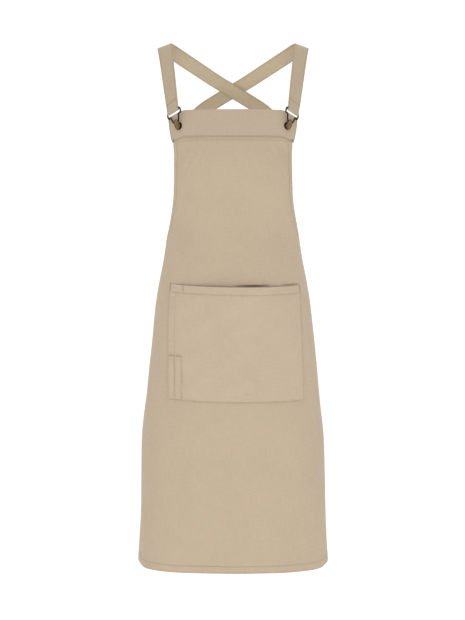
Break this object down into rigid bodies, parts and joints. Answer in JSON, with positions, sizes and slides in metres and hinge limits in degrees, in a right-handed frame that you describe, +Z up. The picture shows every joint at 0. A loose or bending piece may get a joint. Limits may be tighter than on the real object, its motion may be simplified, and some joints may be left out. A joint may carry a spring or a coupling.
{
  "type": "cross back apron",
  "caption": "Canvas bib apron in its worn form, with doubled top band, wide front pocket, small pen pocket and crossed back straps on brass hooks.",
  "frame": {"origin": "on the midplane, level with the undersides of the straps at the top of the shoulders", "axes": "+X to the right in the picture, +Y from the bib to the back, +Z up"},
  "size_m": [0.3688, 0.2344, 0.9934],
  "materials": {
    "canvas": "plain woven cotton canvas, matte",
    "doubled_canvas": "doubled cotton canvas, matte, edge stitched",
    "aged_brass": "aged, satin",
    "dark_wire": "dark aged wire, satin"
  },
  "bodies": {
    "root": {"apron_body": "canvas", "bib_band": "doubled_canvas", "bottom_hem": "canvas", "pocket": "canvas", "pen_pocket": "canvas", "bib_hem_left": "canvas", "back_hem_left": "canvas", "strap_left": "doubled_canvas", "hook_wire_left": "dark_wire", "hook_cap_left": "aged_brass", "eyelet_left": "aged_brass", "bib_hem_right": "canvas", "back_hem_right": "canvas", "strap_right": "doubled_canvas", "hook_wire_right": "dark_wire", "hook_cap_right": "aged_brass", "eyelet_right": "aged_brass"}
  },
  "joints": []
}
